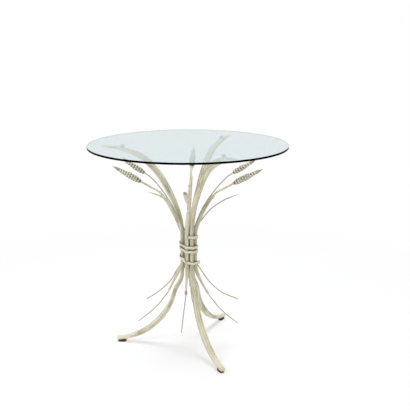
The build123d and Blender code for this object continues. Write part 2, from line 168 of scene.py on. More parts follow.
def hand_over(piece, material, slot, body, *nodes):
    """Give the piece its finish, unless its parts already have theirs, and its place in the frame."""
    if material:
        piece.data.materials.clear()
        piece.data.materials.append(material)
    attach(piece, body)
    if nodes:
        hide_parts(*nodes)
    print(piece.name, "stands for", nodes, "with", triangles(piece), "triangles")


# %% [markdown]
# ## Reading places from the frame
# An ear or a collar sits at the end of a rod. The rod's end face is a ring of vertices, so its
# centre gives the place, and the next ring along the rod gives the direction. Measuring this
# on the frame keeps the pieces in place when a size in the CAD changes.

# %% Measure the end of a rod
STEM = 0.0064
WIRE = 0.0034
SOCKET = 0.00685


def mean(points):
    return sum(points, Vector()) / len(points)


def corners(node):
    """The node's vertices, each place once."""
    places = {tuple(round(c, 6) for c in v.co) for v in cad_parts[node].data.vertices}
    return [Vector(place) for place in sorted(places)]


def end_face(node, gauge, upper):
    """Centre of the rod's upper or lower end face."""
    points = corners(node)
    end = (max if upper else min)(points, key=lambda p: p.z)
    return mean([p for p in points if (p - end).length < gauge * 1.05])


def rod_end(node, gauge, upper):
    """Centre of the rod's upper or lower end face, and the direction from it into the rod."""
    face = end_face(node, gauge, upper)
    near = [p for p in corners(node) if gauge * 1.1 < (p - face).length < gauge + 0.012]
    return face, (mean(near) - face).normalized()


print("right stem leaves its sheath along", rod_end("right_stem", STEM, False)[1])


# %% Place a mesh that was modelled upright at the origin
def stand(origin, along, out=Vector((0, 0, 1))):
    """Matrix with its Z along a direction and its X turned outwards from it."""
    z = along.normalized()
    x = (out - z * out.dot(z)).normalized()
    y = z.cross(x)
    return Matrix.Translation(origin) @ Matrix((x, y, z)).transposed().to_4x4()


# %% Draw a turned shape upwards from a ring
def drawn_out(name, sides, stations):
    """Extrude a filled ring upwards through (height, radius) stations and scale each new ring."""
    height, radius = stations[0]
    clear_selection()
    bpy.ops.mesh.primitive_circle_add(
        vertices=sides, radius=radius, fill_type="NGON", location=(0, 0, height)
    )
    piece = named(name)
    settle(piece)
    bpy.ops.object.mode_set(mode="EDIT")
    bpy.ops.mesh.select_all(action="SELECT")
    for next_height, next_radius in stations[1:]:
        bpy.ops.mesh.extrude_region_move(
            TRANSFORM_OT_translate={"value": (0, 0, next_height - height)}
        )
        share = next_radius / radius
        bpy.ops.transform.resize(value=(share, share, 1), center_override=(0, 0, next_height))
        height, radius = next_height, next_radius
    close_edit()
    return piece


# %% [markdown]
# ## The antique cream paint
# The metal is painted cream, then a thin olive brown glaze is wiped over it. The glaze stays in
# hollows and where pieces meet, and the cloth leaves streaks along each stalk. The dark in the
# hollows is painted shade as well as glaze: it darkens where pieces meet, where shade falls. A
# noise stretched in the stalk's own plane gives the streaks, Ambient Occlusion finds the hollows
# for the glaze and painted shade, and the same node turned inside finds the edges, where the cloth
# rubs the paint thin. An image would need unwrapping and would blur up close, so all of it is
# made from nodes. Wires, ear tips and the strap take the same paint in their own colours, because
# they were wiped more or less.

# %% Colours, as linear values
CREAM = (0.78, 0.735, 0.565, 1)
TAN = (0.40, 0.365, 0.215, 1)
UMBER_GLAZE_AND_SHADE = (0.120, 0.105, 0.045, 1)
RUBBED = (0.86, 0.83, 0.70, 1)
STONE = (0.42, 0.40, 0.31, 1)
STONE_SHADE = (0.27, 0.255, 0.18, 1)
KERNEL_CREAM = (0.88, 0.84, 0.68, 1)
HUSK = (0.50, 0.48, 0.41, 1)
HUSK_SHADE = (0.33, 0.315, 0.26, 1)
STRAP_CREAM = (0.80, 0.76, 0.60, 1)


# %% Small node helpers
def start_material(name):
    """A new material, with its node tree and its shader."""
    material = bpy.data.materials.new(name)
    material.use_nodes = True
    tree = material.node_tree
    return material, tree, tree.nodes["Principled BSDF"]


def node(tree, kind, links=(), **settings):
    """Add a node, set its values and link its inputs. links are (input, socket) pairs."""
    made = tree.nodes.new(kind)
    for key, value in settings.items():
        setattr(made, key, value)
    for key, socket in links:
        tree.links.new(socket, made.inputs[key])
    return made


def mapped(tree, turn, stretch):
    """Object coordinates turned about Z, then scaled along each axis."""
    place = node(tree, "ShaderNodeTexCoord")
    turned = node(tree, "ShaderNodeMapping", [("Vector", place.outputs["Object"])])
    turned.inputs["Rotation"].default_value = (0, 0, math.radians(-turn))
    scaled = node(tree, "ShaderNodeMapping", [("Vector", turned.outputs["Vector"])])
    scaled.inputs["Scale"].default_value = stretch
    return scaled.outputs["Vector"]


def noise(tree, vector, scale, detail=4.0, rough=0.6):
    made = node(tree, "ShaderNodeTexNoise", [("Vector", vector)])
    made.inputs["Scale"].default_value = scale
    made.inputs["Detail"].default_value = detail
    made.inputs["Roughness"].default_value = rough
    return made.outputs["Fac"]


def window(tree, socket, low, high, to_low=0.0, to_high=1.0):
    """Spread the values between low and high over a new range."""
    made = node(tree, "ShaderNodeMapRange", [("Value", socket)])
    for key, value in (("From Min", low), ("From Max", high), ("To Min", to_low), ("To Max", to_high)):
        made.inputs[key].default_value = value
    return made.outputs["Result"]


def blend(tree, amount, first, second):
    """Mix two colours. Each is a socket or a plain colour."""
    made = tree.nodes.new("ShaderNodeMix")
    made.data_type = "RGBA"
    tree.links.new(amount, made.inputs["Factor"])
    for socket, colour in ((made.inputs[6], first), (made.inputs[7], second)):
        if isinstance(colour, tuple):
            socket.default_value = colour
        else:
            tree.links.new(colour, socket)
    return made.outputs[2]


def times(tree, socket, other, operation="MULTIPLY"):
    """Multiply a socket by a socket or a number, or combine the two by another operation."""
    made = node(tree, "ShaderNodeMath", [(0, socket)], operation=operation)
    if isinstance(other, (int, float)):
        made.inputs[1].default_value = other
    else:
        tree.links.new(other, made.inputs[1])
    made.use_clamp = operation != "ADD"
    return made.outputs[0]


# %% The paint itself
# how far and how strongly the glaze and painted shade in the hollows reach
HOLLOW_REACH = 0.005
EDGE_REACH = 0.0011
HOLLOW_GLAZE_AND_SHADE = 0.84
STREAK_STRETCH = (0.07, 1.0, 0.07)


def cream_paint(name, turn, base=CREAM, second=TAN, streaks=0.9, rub=0.55, grain=0.00035,
                stretch=STREAK_STRETCH):
    """Cream over tan with glaze and painted shade in the hollows. turn is the azimuth of the stalk's
    plane.
    """
    material, tree, shader = start_material(name)
    along = mapped(tree, turn, stretch)
    plain = mapped(tree, 0, (1, 1, 1))
    streak = window(tree, noise(tree, along, 300, 4, 0.6), 0.40, 0.62)
    patch = window(tree, noise(tree, plain, 18, 3, 0.55), 0.36, 0.62, 0.35, 1.0)
    colour = blend(tree, times(tree, times(tree, streak, patch), streaks), base, second)
    # rubbed edges
    inner = node(tree, "ShaderNodeAmbientOcclusion", inside=True, only_local=True, samples=6)
    inner.inputs["Distance"].default_value = EDGE_REACH
    edge = window(tree, inner.outputs["AO"], 0.35, 0.92, 1.0, 0.0)
    speckle = window(tree, noise(tree, plain, 240, 4, 0.7), 0.44, 0.60)
    colour = blend(tree, times(tree, times(tree, edge, speckle), rub), colour, RUBBED)
    # glaze and painted shade in the hollows, where pieces meet and shade falls between them
    outer = node(tree, "ShaderNodeAmbientOcclusion", samples=8)
    outer.inputs["Distance"].default_value = HOLLOW_REACH
    hollow_glaze_and_shade = window(tree, outer.outputs["AO"], 0.10, 0.78, 1.0, 0.0)
    smear = window(tree, noise(tree, along, 150, 4, 0.6), 0.25, 0.70, 0.55, 1.0)
    colour = blend(tree, times(tree, times(tree, hollow_glaze_and_shade, smear), HOLLOW_GLAZE_AND_SHADE), colour, UMBER_GLAZE_AND_SHADE)
    # glaze and painted shade that the piece stores on itself, as lines, rims and seams
    held = node(tree, "ShaderNodeAttribute", attribute_name="glaze_and_painted_shade")
    uneven = window(tree, noise(tree, plain, 60, 3, 0.6), 0.3, 0.6, 0.55, 0.95)
    colour = blend(tree, times(tree, held.outputs["Fac"], uneven), colour, UMBER_GLAZE_AND_SHADE)
    tree.links.new(colour, shader.inputs["Base Color"])
    rough = window(tree, streak, 0.0, 1.0, 0.40, 0.58)
    tree.links.new(rough, shader.inputs["Roughness"])
    brushed = noise(tree, along, 900, 3, 0.6)
    pits = noise(tree, plain, 520, 2, 0.5)
    height = times(tree, brushed, pits, "ADD")
    bump = node(tree, "ShaderNodeBump", [("Height", height)])
    bump.inputs["Strength"].default_value = 0.35
    bump.inputs["Distance"].default_value = grain
    tree.links.new(bump.outputs["Normal"], shader.inputs["Normal"])
    shader.inputs["Specular IOR Level"].default_value = 0.42
    return material


PLANES = {
    "right": 0, "back": 90, "front": 270, "left": 180, "inner_right": 0, "inner_left": 180,
    "leg_left": 182, "leg_front": 302, "leg_back": 62,
}
paint = {name: cream_paint("cream_" + name, turn) for name, turn in PLANES.items()}
wire_paint = cream_paint(
    "cream_wire", 0, STONE, STONE_SHADE, streaks=0.7, rub=0.1, grain=0.0001, stretch=(0.3, 0.3, 0.3)
)
ear_paint = cream_paint("cream_ear", 0, KERNEL_CREAM, streaks=0.35)
tip_paint = cream_paint("cream_tip", 0, HUSK, HUSK_SHADE)
strap_paint = cream_paint("cream_strap", 0, STRAP_CREAM, streaks=0.5, stretch=(0.3, 0.3, 1.0))
print("paints:", len(paint) + 4)

# %% [markdown]
# ## Rubber, vinyl and glass
# The glides are moulded black rubber with a fine grain. The bumpers are clear vinyl, a little
# cloudy. The pane is clear float glass, which soaks up light over its depth: pale through its
# face, and black green along its edge, where one looks through far more of it. The ground edge
# mirrors next to nothing, so it is a second material with a low index that lets light straight in.


# %% Rubber
def glide_rubber():
    material, tree, shader = start_material("glide_rubber")
    plain = mapped(tree, 0, (1, 1, 1))
    dust = window(tree, noise(tree, plain, 90, 4, 0.6), 0.45, 0.75)
    colour = blend(tree, dust, (0.012, 0.012, 0.013, 1), (0.045, 0.043, 0.040, 1))
    tree.links.new(colour, shader.inputs["Base Color"])
    tree.links.new(window(tree, dust, 0, 1, 0.55, 0.78), shader.inputs["Roughness"])
    bump = node(tree, "ShaderNodeBump", [("Height", noise(tree, plain, 1400, 2, 0.5))])
    bump.inputs["Strength"].default_value = 0.3
    bump.inputs["Distance"].default_value = 0.0002
    tree.links.new(bump.outputs["Normal"], shader.inputs["Normal"])
    return material


# %% Vinyl
def bumper_vinyl():
    material, tree, shader = start_material("bumper_vinyl")
    plain = mapped(tree, 0, (1, 1, 1))
    cloud = window(tree, noise(tree, plain, 160, 3, 0.5), 0.3, 0.7)
    colour = blend(tree, cloud, (0.42, 0.46, 0.44, 1), (0.58, 0.62, 0.59, 1))
    tree.links.new(colour, shader.inputs["Base Color"])
    tree.links.new(window(tree, cloud, 0, 1, 0.12, 0.3), shader.inputs["Roughness"])
    shader.inputs["Transmission Weight"].default_value = 0.55
    shader.inputs["IOR"].default_value = 1.45
    return material


# %% Glass
SOAK_DENSITY = 44
SOAK_COLOUR = (0.04, 0.40, 0.455, 1)
FACE_TINT = (1, 1, 1, 1)
FACE_INDEX = 1.5
GROUND_TINT = (0.02, 0.05, 0.045, 1)
GROUND_INDEX = 1.02


def clear_glass(name, tint, index):
    """Glass that takes a little of the light on its skin and the rest over its depth."""
    material, tree, shader = start_material(name)
    plain = mapped(tree, 0, (1, 1, 1))
    wave = noise(tree, plain, 3.0, 2, 0.4)
    worn = tuple(0.97 * c for c in tint[:3]) + (1,)
    tree.links.new(blend(tree, wave, tint, worn), shader.inputs["Base Color"])
    shader.inputs["Roughness"].default_value = 0.0
    shader.inputs["Transmission Weight"].default_value = 1.0
    shader.inputs["IOR"].default_value = index
    soak = node(tree, "ShaderNodeVolumeAbsorption")
    soak.inputs["Color"].default_value = SOAK_COLOUR
    soak.inputs["Density"].default_value = SOAK_DENSITY
    tree.links.new(soak.outputs["Volume"], tree.nodes["Material Output"].inputs["Volume"])
    return material


rubber = glide_rubber()
vinyl = bumper_vinyl()
glass_face = clear_glass("glass_face", FACE_TINT, FACE_INDEX)
glass_edge = clear_glass("glass_edge", GROUND_TINT, GROUND_INDEX)
print("clear and dark finishes made")

# %% [markdown]
# ## The glass top
# A cutter scores a disc from a sheet, and a belt grinds its edge flat and takes the two arrises
# off. A cylinder with many sides is the disc, an inset marks where the polish starts, and a
# narrow bevel makes the arrises. The CAD pane has fewer sides, which would show in the dark
# edge, so this piece stands for it.

# %% Model the pane
pane_low, pane_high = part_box("glass_top")
PANE_SIDES = 288
POLISH_STARTS = 0.012
ARRIS = 0.0005
clear_selection()
bpy.ops.mesh.primitive_cylinder_add(
    vertices=PANE_SIDES,
    radius=(pane_high.x - pane_low.x) / 2,
    depth=pane_high.z - pane_low.z,
    location=(0, 0, (pane_high.z + pane_low.z) / 2),
)
pane = named("glass_pane")
settle(pane)
edit_where(pane, lambda face: abs(face.normal.z) > 0.9)
bpy.ops.mesh.inset(thickness=POLISH_STARTS)
close_edit()
soften(pane, ARRIS, segments=1, turn=50)
smooth(pane, 35)
hand_over(pane, glass_face, "glass", "glass", "glass_top")
pane.data.materials.append(glass_edge)
for face in pane.data.polygons:
    face.material_index = int(abs(face.normal.z) < 0.95)
# the dark edge would darken everything under the pane, which a clear top doesn't do
pane.visible_shadow = False

# %% [markdown]
# ## Worked copies of the bent pieces
# Legs, sheaths, wires and the strap are already bent right in the CAD, but their solids have
# plain flat facets. A copy of the solid is welded into one skin, its edges are softened with a
# bevel and its facets are shaded smooth. Drawing the same bends again with curves would risk
# leaving the places where the CAD pieces meet.


# %% Take a copy of a CAD solid
def welded_copy(cad_node, name):
    """A copy of a CAD solid in one skin, with its triangles joined to quads where they can be."""
    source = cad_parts[cad_node]
    mesh = source.data.copy()
    piece = bpy.data.objects.new(name, mesh)
    mesh.name = name
    bpy.context.scene.collection.objects.link(piece)
    pick(piece)
    if mesh.has_custom_normals:
        bpy.ops.mesh.customdata_custom_splitnormals_clear()
    bpy.ops.object.mode_set(mode="EDIT")
    bpy.ops.mesh.select_all(action="SELECT")
    bpy.ops.mesh.remove_doubles(threshold=0.000004)
    bpy.ops.mesh.tris_convert_to_quads(
        face_threshold=math.radians(25), shape_threshold=math.radians(60)
    )
    close_edit()
    return piece


# %% [markdown]
# ## Legs
# Each leg is one bar, formed hot: a foot, a slim waist, a broad arm and a leaf point. A shallow
# flute runs along each of its four sides, and glaze stays along the rim of the flute as a long
# dark line, which is painted shade along the bar's edges as well. A flute is an inset of the side,
# and a second inset pushed in by half a millimetre. Cuts across the leg end the flutes cleanly
# before the toe and the bumper's seat, and the glaze and painted shade thin out towards them. Rows
# of boolean cutters would do it too, but they leave slivers along a bar that twists. The foot's
# flutes lie below the waist and the arm's above it.

# %% Flute and soften the legs
WAIST_LEVEL = 0.3
ARM_FLUTE_END = 0.183
FOOT_FLUTE_END = 0.203
FLUTE_FADE = 0.035
FLUTE_RIM = 0.0009
FLUTE_WALL = 0.0010
FLUTE_DEPTH = 0.0006
# how dark the line of glaze and painted shade round the flutes is, on the faces and on the flanks
FACE_LINE = 0.85
FLANK_LINE = 0.70
BAR_ROUND = 0.0008
LEG_PLANES = {"leg_left": (180, 184), "leg_front": (300, 305), "leg_back": (64, 62)}


def outwards(azimuth):
    """Level direction of length 1 at an azimuth in degrees."""
    return Vector((math.cos(math.radians(azimuth)), math.sin(math.radians(azimuth)), 0))


for leg, (foot_turn, arm_turn) in LEG_PLANES.items():
    bar = welded_copy(leg, leg + "_bar")
    for azimuth, end, upper in ((foot_turn, FOOT_FLUTE_END, False), (arm_turn, ARM_FLUTE_END, True)):
        edit_where(bar, lambda face: (face.center.z > WAIST_LEVEL) == upper)
        bpy.ops.mesh.bisect(plane_co=outwards(azimuth) * end, plane_no=outwards(azimuth))
        bpy.ops.object.mode_set(mode="OBJECT")
    across = outwards((foot_turn + arm_turn) / 2 + 90)

    def short_of_end(place):
        """How far a place on the leg lies inwards of the end of its flute."""
        if place.z > WAIST_LEVEL:
            return ARM_FLUTE_END - place.dot(outwards(arm_turn))
        return FOOT_FLUTE_END - place.dot(outwards(foot_turn))

    def on_side(face, lean_low, lean_high):
        lean = abs(face.normal.dot(across))
        return lean_low <= lean < lean_high and short_of_end(face.center) > 0.001

    flute(bar, lambda face: on_side(face, 0, 0.36), FLUTE_RIM, FLUTE_WALL, FLUTE_DEPTH, FACE_LINE)
    flute(bar, lambda face: on_side(face, 0.93, 2), FLUTE_RIM, FLUTE_WALL, FLUTE_DEPTH, FLANK_LINE)
    # the glaze and painted shade of the flutes fade out towards their ends
    for vertex, held in zip(bar.data.vertices, bar.data.attributes["glaze_and_painted_shade"].data):
        held.value *= ramp(short_of_end(vertex.co), 0.0, FLUTE_FADE)
    soften(bar, BAR_ROUND, segments=2, turn=32)
    smooth(bar, 38)
    hand_over(bar, paint[leg], "cream_paint", "base", leg)

# %% [markdown]
# ## Glides and bumpers
# A glide is a small moulded pad with round edges. A bumper is a disc with a domed rim, stuck to
# the level seat on the leaf: a ring is drawn upwards and scaled at each step, as on a lathe.

# %% Soften the glides
PAD_ROUND = 0.0008
for leg in LEG_PLANES:
    glide = leg.replace("leg", "glide")
    pad = welded_copy(glide, glide + "_pad")
    soften(pad, PAD_ROUND, segments=2, turn=35)
    smooth(pad, 50)
    hand_over(pad, rubber, "glide_rubber", "base", glide)

# %% Turn the bumpers
for leg in LEG_PLANES:
    bumper = leg.replace("leg", "bumper")
    low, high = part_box(bumper)
    tall = high.z - low.z
    wide = (high.x - low.x) / 2
    disc = drawn_out(bumper + "_disc", 32, [
        (0.0, 0.90 * wide), (0.05 * tall, 0.97 * wide), (0.15 * tall, wide), (0.75 * tall, wide),
        (0.90 * tall, 0.94 * wide), (0.98 * tall, 0.84 * wide), (tall, 0.70 * wide),
    ])
    disc.data.transform(Matrix.Translation(((low.x + high.x) / 2, (low.y + high.y) / 2, low.z)))
    smooth(disc, 60)
    hand_over(disc, vinyl, "bumper_vinyl", "base", bumper)

# %% [markdown]
# ## Sheaths, stems and wires
# A sheath is a leaf rolled round its stalk, with a raised vein along both sides, which is the
# ridge between two flutes. Its mouth has a thin rolled lip, and its lower end is drawn down over
# the wire. The front one ends in a small knob instead. Lips and ends are drawn out from a ring
# and then stood at the end of the rod that they hold. A wire keeps its round section to the last
# ring, which is shrunk: a little on a tail, which was cut off, and much on an awn, which is ground.

# %% Taper a free end
TAIL_TIP = 0.7
AWN_TIP = 0.3


def taper_end(piece, node, upper, tip):
    """Shrink the last ring of a wire to a share of its size, so that its free end tapers."""
    end = end_face(node, WIRE, upper)
    edit_where(piece, lambda v: (v.co - end).length < WIRE, "VERT")
    bpy.ops.transform.resize(value=(tip, tip, tip), center_override=end)
    close_edit()


# %% Smooth the sheaths, the stems and the wires
STALKS = {"right": 0, "back": 90, "front": 270, "left": 180}
SHEATH_RIM = 0.0006
SHEATH_WALL = 0.0008
SHEATH_DEPTH = 0.0004
# how dark the line of glaze and painted shade round the flutes of a sheath is
SHEATH_LINE = 0.7


def on_vein_side(face):
    """Whether a face of the sheath looks sideways out of the plane that its stalk bends in."""
    return abs(face.normal.dot(across)) > 0.86


for stalk, azimuth in STALKS.items():
    tube = welded_copy(stalk + "_sheath", stalk + "_rolled_sheath")
    across = outwards(azimuth + 90)
    flute(tube, on_vein_side, SHEATH_RIM, SHEATH_WALL, SHEATH_DEPTH, SHEATH_LINE)
    smooth(tube, 50)
    hand_over(tube, paint[stalk], "cream_paint", "base", stalk + "_sheath")
    stem = welded_copy(stalk + "_stem", stalk + "_drawn_stem")
    smooth(stem, 55)
    hand_over(stem, paint[stalk], "cream_paint", "base", stalk + "_stem")
    tail = welded_copy(stalk + "_tail", stalk + "_drawn_tail")
    taper_end(tail, stalk + "_tail", False, TAIL_TIP)
    smooth(tail, 55)
    hand_over(tail, wire_paint, "cream_paint", "base", stalk + "_tail")

for wire in ("inner_right_stem", "inner_left_stem", "right_awn", "left_awn"):
    bent = welded_copy(wire, wire + "_wire")
    if "awn" in wire:
        taper_end(bent, wire, True, AWN_TIP)
    smooth(bent, 55)
    hand_over(bent, wire_paint, "cream_paint", "base", wire)

# %% Lips and ferrules
LIP = [
    (-0.0016, 0.0050), (-0.0012, 0.0056), (-0.0004, 0.0059), (0.0004, 0.0057),
    (0.0010, 0.0051), (0.0008, 0.0042), (0.0002, 0.0036),
]
KNOB = [
    (-0.0050, 0.0033), (-0.0030, 0.0042), (0.0, 0.0046), (0.0030, 0.0043),
    (0.0052, 0.0034), (0.0066, 0.0024), (0.0072, 0.0018),
]
DRAWN_END = [
    (-0.0040, 0.0032), (-0.0020, 0.0036), (0.0, 0.0036), (0.0030, 0.0032),
    (0.0060, 0.0027), (0.0090, 0.0022), (0.0115, 0.0018),
]
for stalk in STALKS:
    start, along = rod_end(stalk + "_stem", STEM, upper=False)
    lip = drawn_out(stalk + "_lip", 24, LIP)
    lip.data.transform(stand(start + along * SOCKET, along))
    smooth(lip, 60)
    hand_over(lip, paint[stalk], "cream_paint", "base")
    start, along = rod_end(stalk + "_tail", WIRE, upper=True)
    end = drawn_out(stalk + "_end", 20, KNOB if stalk == "front" else DRAWN_END)
    end.data.transform(stand(start + along * SOCKET, along))
    smooth(end, 60)
    hand_over(end, wire_paint if stalk == "front" else paint[stalk], "cream_paint", "base")

# %% [markdown]
# ## Strap, leaf and core
# The strap is one flat band wound over the stalks. A real band can't step from stalk to stalk, so
# its sections are walked from the free end and their heights averaged, which makes it climb
# evenly. A fresh sweep would not lie as closely on the stalks. Painted shade is kept along its two
# rims.
# The centre leaf is a pointed blade, and the core is the bar that the bundle is welded to.

# %% Soften the strap and the leaf
END_REACH = 0.012
CLIMB_REACH = 0.016
RIM_PAINTED_SHADE = 0.8
BAND_ROUND = 0.0005


def sections_along(piece):
    """The corners of the band, one set for each section, from its free end to its hidden one."""
    joined = {}
    for edge in piece.data.edges:
        for corner, other in (edge.vertices, reversed(edge.vertices)):
            joined.setdefault(corner, set()).add(other)
    tip = max((v.co for v in piece.data.vertices), key=lambda co: co.xy.length)
    found = [{v.index for v in piece.data.vertices if (v.co - tip).length < END_REACH}]
    seen = set(found[0])
    while True:
        following = set().union(*(joined[corner] for corner in found[-1])) - seen
        if not following:
            return found
        found.append(following)
        seen |= following


def even_slope(piece, reach):
    """Let a band climb evenly, by averaging its height over a reach to both sides."""
    sections = sections_along(piece)
    centres = [mean([piece.data.vertices[corner].co for corner in part]) for part in sections]
    run = [0.0]
    for before, after in zip(centres, centres[1:]):
        run.append(run[-1] + (after - before).xy.length)
    for part, centre, place in zip(sections, centres, run):
        pulls = [math.exp(-((other - place) / reach) ** 2) for other in run]
        height = sum(pull * other.z for pull, other in zip(pulls, centres)) / sum(pulls)
        for corner in part:
            piece.data.vertices[corner].co.z += height - centre.z
    print(piece.name, "has", len(sections), "sections over", round(run[-1], 3), "m")


band = welded_copy("strap", "strap_band")
even_slope(band, CLIMB_REACH)
# the band's two rims take painted shade
edit_where(band, lambda face: abs(face.normal.z) > 0.75)
bpy.ops.object.mode_set(mode="OBJECT")
keep_glaze_and_painted_shade(band, RIM_PAINTED_SHADE)
soften(band, BAND_ROUND, segments=2, turn=30)
smooth(band, 40)
hand_over(band, strap_paint, "cream_paint", "base", "strap")

blade = welded_copy("centre_leaf", "centre_blade")
smooth(blade, 30)
hand_over(blade, paint["back"], "cream_paint", "base", "centre_leaf")

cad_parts["core"].data.materials.clear()
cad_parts["core"].data.materials.append(paint["front"])
print("the core keeps its CAD mesh")

# %% [markdown]
# ## The ears
# An ear is pressed in two halves from dies, and shows plump kernels that overlap like tiles,
# each row turned by half a kernel, with a ridged spike of closed husks at its tip. One kernel is
# modelled from a low sphere: drawn to its length, pinched to a beak, and given a keel. Each
# kernel is a copy of it, scaled by the ear's outline. Its glaze and painted shade are stored on
# the kernel as an attribute, dark at the root, in the seams and on its side towards the spindle,
# where shade falls between kernels, so that the olive gaps show from any side. Bump alone would
# leave the outline smooth, and the knobbly outline is what makes it an ear.

# %% Model one kernel
KERNEL_LONG = 0.0126
KERNEL_WIDE = 0.0102
KERNEL_DEEP = 0.0080

clear_selection()
bpy.ops.mesh.primitive_uv_sphere_add(segments=8, ring_count=7, radius=0.5)
kernel = named("kernel")
bpy.ops.object.mode_set(mode="EDIT")
bpy.ops.mesh.select_all(action="SELECT")
bpy.ops.transform.resize(value=(KERNEL_DEEP, KERNEL_WIDE, KERNEL_LONG))
edit_where(kernel, lambda v: v.co.z > 0.27 * KERNEL_LONG, "VERT")
bpy.ops.transform.resize(value=(0.86, 0.78, 1.0), center_override=(0, 0, 0))
edit_where(kernel, lambda v: v.co.z > 0.49 * KERNEL_LONG, "VERT")
bpy.ops.transform.translate(value=(0.0007, 0, 0.0012))
edit_where(kernel, lambda v: v.co.x > 0.2 * KERNEL_DEEP and abs(v.co.y) < 0.0002, "VERT")
bpy.ops.transform.translate(value=(0.0007, 0, 0))
close_edit()
settle(kernel)
print("one kernel has", triangles(kernel), "triangles")

# %% Store the glaze and painted shade on the kernel
glaze_and_painted_shade = kernel.data.attributes.new("glaze_and_painted_shade", "FLOAT", "POINT")
for vertex, held in zip(kernel.data.vertices, glaze_and_painted_shade.data):
    # glaze and painted shade: dark at the root, in the seams and on the side towards the spindle
    root = 1 - ramp(vertex.co.z / KERNEL_LONG, -0.05, 0.30)
    seam = ramp(abs(vertex.co.y) / KERNEL_WIDE, 0.30, 0.5)
    sunk = 1 - ramp(vertex.co.x / KERNEL_DEEP, -0.3, 0.15)
    held.value = max(root, 0.7 * seam, sunk)
kernel.hide_render = True
kernel.hide_set(True)


# %% Measure an ear on the frame
EAR_SEAT = 0.00485


def ear_axis(cad_node, stem_node, gauge):
    """Length of an ear, and a function that gives the frame across it at each height.

    The stem's end gives the base and the first direction. The tip tells how far the axis,
    which is an arc in an upright plane, sinks on its way."""
    end, down = rod_end(stem_node, gauge, upper=True)
    base = end + down * EAR_SEAT
    chord = max((p - base for p in corners(cad_node)), key=lambda p: p.length)
    side = Vector((0, 0, 1)).cross(-down).normalized()
    droop = 2 * (math.asin(-down.z) - math.asin(chord.z / chord.length))
    droop = droop if abs(droop) > 0.001 else 0.001
    length = chord.length * (droop / 2) / math.sin(droop / 2)
    sink = side.cross(-down)

    def across(height):
        turned = droop * height / length
        place = base + length / droop * (-down * math.sin(turned) + sink * (1 - math.cos(turned)))
        facing = -down * math.cos(turned) + sink * math.sin(turned)
        return stand(place, facing, side)

    print(cad_node, "length", round(length, 4), "droop", round(math.degrees(droop), 1))
    return length, across


# %% Outline of an ear
EAR_GIRTH = 0.0106
EAR_WHORLS = 9
INNER_GIRTH = 0.0094
INNER_WHORLS = 7
NECK_WALL = 0.0016
EAR_OUTLINE = ((0.0, 0.60), (0.20, 0.94), (0.38, 1.0), (0.75, 0.62), (1.0, 0.06))
KERNELS_ROUND = 6
KERNEL_TILT = 20
KERNEL_SUNK = 0.0050
FIRST_WHORL = 0.085
BODY_SHARE = 0.70
SPIKE_SIDES = 16
SPIKE_INSIDE = 0.72
FURROW_PULL = 0.93
SPIKE_SHARES = (0.60, 0.68, 0.76, 0.83, 0.89, 0.94, 0.98, 1.0)


def outline(share):
    """The ear's radius at a share of its length, as a share of its girth."""
    for (s0, r0), (s1, r1) in zip(EAR_OUTLINE, EAR_OUTLINE[1:]):
        if share <= s1:
            return r0 + (r1 - r0) * ramp(share, s0, s1)
    return EAR_OUTLINE[-1][1]


def follow(piece, across, glaze_and_shade_at):
    """Store the glaze and painted shade of each vertex by its height, then carry the piece onto the
    ear's axis.
    """
    held = piece.data.attributes.new("glaze_and_painted_shade", "FLOAT", "POINT")
    for vertex, amount in zip(piece.data.vertices, held.data):
        amount.value = glaze_and_shade_at(vertex.co)
        vertex.co = across(vertex.co.z) @ Vector((vertex.co.x, vertex.co.y, 0))


